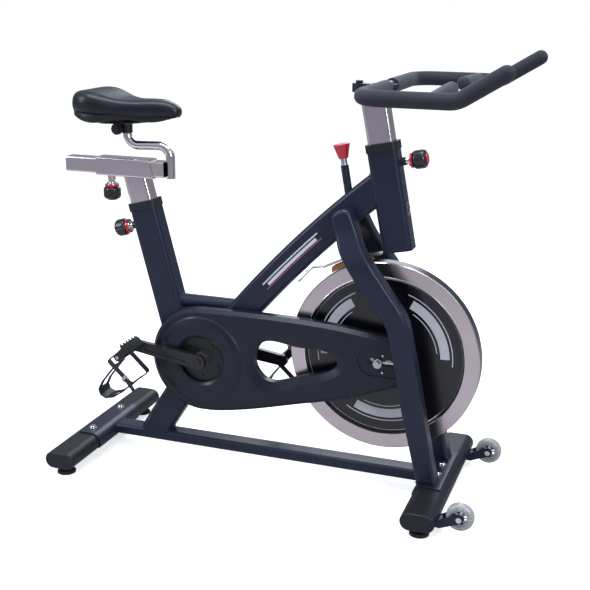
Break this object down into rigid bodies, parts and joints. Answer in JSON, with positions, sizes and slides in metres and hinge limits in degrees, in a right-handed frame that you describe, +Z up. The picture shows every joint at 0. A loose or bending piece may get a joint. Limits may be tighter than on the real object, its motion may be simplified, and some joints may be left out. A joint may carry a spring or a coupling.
{
  "type": "indoor cycling bike",
  "caption": "Stationary spin bike: curved beam frame, front flywheel behind bent fork legs, chain guard, sliding saddle and handlebar posts.",
  "frame": {"origin": "on the floor, under the centre of the bounding box", "axes": "+X forward to the handlebar, +Y to the rider's left, +Z up"},
  "size_m": [1.1359, 0.554, 1.0449],
  "materials": {
    "frame_paint": "satin powder coat, near black with a blue cast",
    "stabilizer_paint": "satin powder coat, near black",
    "chrome": "polished chrome plate",
    "zinc": "zinc plated steel",
    "cast_iron": "polished and black painted casting",
    "black_steel": "black finished steel",
    "aluminium": "black anodised forging",
    "plastic": "moulded black plastic",
    "gloss_plastic": "smooth black plastic",
    "red_plastic": "red moulded plastic",
    "vinyl": "smooth black vinyl over foam",
    "foam": "closed-cell foam",
    "rubber": "moulded rubber",
    "strap": "woven strap",
    "felt": "tan leather",
    "tyre": "grey polyurethane"
  },
  "bodies": {
    "frame": {"main_beam": "frame_paint", "head_tube": "frame_paint", "seat_tube": "frame_paint", "bridge_tube": "frame_paint", "base_tube": "frame_paint", "fork_legs": "frame_paint", "stabilizer_brackets": "frame_paint", "front_stabilizer": "stabilizer_paint", "rear_stabilizer": "stabilizer_paint", "stabilizer_end_caps": "plastic", "frame_bolts": "chrome", "tube_sleeves": "plastic", "welded_fittings": "frame_paint", "flywheel_axle": "zinc", "drive_chain": "zinc", "chain_guard_outer": "plastic", "chain_guard_inner": "plastic", "crank_cover": "plastic", "bearings": "zinc", "brake_spring": "zinc"},
    "flywheel": {"flywheel_casting": "cast_iron", "flywheel_hub": "zinc", "flywheel_sprocket": "zinc"},
    "crankset": {"crank_spindle": "zinc", "chainring": "black_steel", "crank_arms": "aluminium", "pedal_spindles": "zinc"},
    "pedal_left": {"pedal_body_left": "aluminium", "pedal_cage_left": "black_steel", "toe_clip_left": "plastic", "toe_strap_left": "strap"},
    "pedal_right": {"pedal_body_right": "aluminium", "pedal_cage_right": "black_steel", "toe_clip_right": "plastic", "toe_strap_right": "strap"},
    "seat_upright": {"seat_post": "chrome", "slider_carriage": "chrome"},
    "seat_slider": {"slider_tube": "chrome", "saddle_stem": "chrome", "saddle_clamp": "black_steel"},
    "saddle": {"saddle_rails": "black_steel", "saddle_base": "plastic", "saddle_pad": "vinyl"},
    "handlebar": {"handlebar_post": "chrome", "handlebar_bracket": "frame_paint", "handlebar_tube": "black_steel", "foam_grips": "foam"},
    "seat_height_pin": {"seat_height_knob": "gloss_plastic"},
    "handlebar_height_pin": {"handlebar_height_knob": "gloss_plastic"},
    "slider_pin": {"seat_slider_knob": "gloss_plastic"},
    "brake_plunger": {"brake_rod": "chrome"},
    "brake_handle": {"brake_knob": "red_plastic"},
    "brake_arm": {"brake_leaf": "zinc", "brake_pad": "felt"},
    "wheel_left": {"transport_wheel_left": "tyre"},
    "wheel_right": {"transport_wheel_right": "tyre"},
    "foot_front_left": {"levelling_foot_front_left": "rubber"},
    "foot_front_right": {"levelling_foot_front_right": "rubber"},
    "foot_rear_left": {"levelling_foot_rear_left": "rubber"},
    "foot_rear_right": {"levelling_foot_rear_right": "rubber"}
  },
  "joints": [
    {"name": "flywheel_spin", "type": "hinge", "parent": "frame", "child": "flywheel", "pos_m": [0.266, 0, 0.341], "axis": [0, 1, 0], "continuous": true},
    {"name": "crank_spin", "type": "hinge", "parent": "frame", "child": "crankset", "pos_m": [-0.189, 0, 0.289], "axis": [0, 1, 0], "continuous": true},
    {"name": "left_pedal_spin", "type": "hinge", "parent": "crankset", "child": "pedal_left", "pos_m": [-0.02057, 0.1325, 0.26593], "axis": [0, 1, 0], "continuous": true},
    {"name": "right_pedal_spin", "type": "hinge", "parent": "crankset", "child": "pedal_right", "pos_m": [-0.35743, -0.1325, 0.31207], "axis": [0, 1, 0], "continuous": true},
    {"name": "seat_height", "type": "slide", "parent": "frame", "child": "seat_upright", "axis": [-0.2538, 0, 0.9673], "range_m": [-0.025, 0.09]},
    {"name": "seat_fore_aft", "type": "slide", "parent": "seat_upright", "child": "seat_slider", "axis": [1, 0, 0], "range_m": [-0.02, 0.06]},
    {"name": "saddle_tilt", "type": "hinge", "parent": "seat_slider", "child": "saddle", "pos_m": [-0.418, 0, 0.845], "axis": [0, 1, 0], "range_deg": [-8, 8]},
    {"name": "handlebar_height", "type": "slide", "parent": "frame", "child": "handlebar", "axis": [-0.1925, 0, 0.9813], "range_m": [-0.025, 0.09]},
    {"name": "seat_height_pin_pull", "type": "slide", "parent": "frame", "child": "seat_height_pin", "axis": [-0.9673, 0, -0.2538], "range_m": [0, 0.009], "stiffness_N_per_m": 900, "springref_m": -0.004},
    {"name": "handlebar_height_pin_pull", "type": "slide", "parent": "frame", "child": "handlebar_height_pin", "axis": [0.9813, 0, 0.1925], "range_m": [0, 0.009], "stiffness_N_per_m": 900, "springref_m": -0.004},
    {"name": "slider_pin_pull", "type": "slide", "parent": "seat_upright", "child": "slider_pin", "axis": [0, 0, -1], "range_m": [0, 0.009], "stiffness_N_per_m": 900, "springref_m": -0.004},
    {"name": "brake_push", "type": "slide", "parent": "frame", "child": "brake_plunger", "axis": [0.1771, 0, -0.9842], "range_m": [0, 0.0016], "stiffness_N_per_m": 4000, "springref_m": -0.002, "deforming": ["brake_spring"]},
    {"name": "brake_turn", "type": "hinge", "parent": "brake_plunger", "child": "brake_handle", "pos_m": [0.15296, 0, 0.80868], "axis": [-0.1771, 0, 0.9842], "range_deg": [-540, 540]},
    {"name": "brake_arm_flex", "type": "hinge", "parent": "frame", "child": "brake_arm", "pos_m": [0.051, 0, 0.504], "axis": [0, 1, 0], "range_deg": [0, 0.66], "stiffness_Nm_per_rad": 20, "springref_deg": -1.15},
    {"name": "left_wheel_spin", "type": "hinge", "parent": "frame", "child": "wheel_left", "pos_m": [0.5, 0.187, 0.05], "axis": [0, 1, 0], "continuous": true},
    {"name": "right_wheel_spin", "type": "hinge", "parent": "frame", "child": "wheel_right", "pos_m": [0.5, -0.187, 0.05], "axis": [0, 1, 0], "continuous": true},
    {"name": "front_left_foot_adjust", "type": "slide", "parent": "frame", "child": "foot_front_left", "axis": [0, 0, 1], "range_m": [-0.006, 0]},
    {"name": "front_right_foot_adjust", "type": "slide", "parent": "frame", "child": "foot_front_right", "axis": [0, 0, 1], "range_m": [-0.006, 0]},
    {"name": "rear_left_foot_adjust", "type": "slide", "parent": "frame", "child": "foot_rear_left", "axis": [0, 0, 1], "range_m": [-0.006, 0]},
    {"name": "rear_right_foot_adjust", "type": "slide", "parent": "frame", "child": "foot_rear_right", "axis": [0, 0, 1], "range_m": [-0.006, 0]}
  ],
  "couplings": [
    {"joint": "crank_spin", "follows": "flywheel_spin", "ratio": 0.32},
    {"joint": "brake_arm_flex", "follows": "brake_push", "rad_per_m": 7}
  ]
}
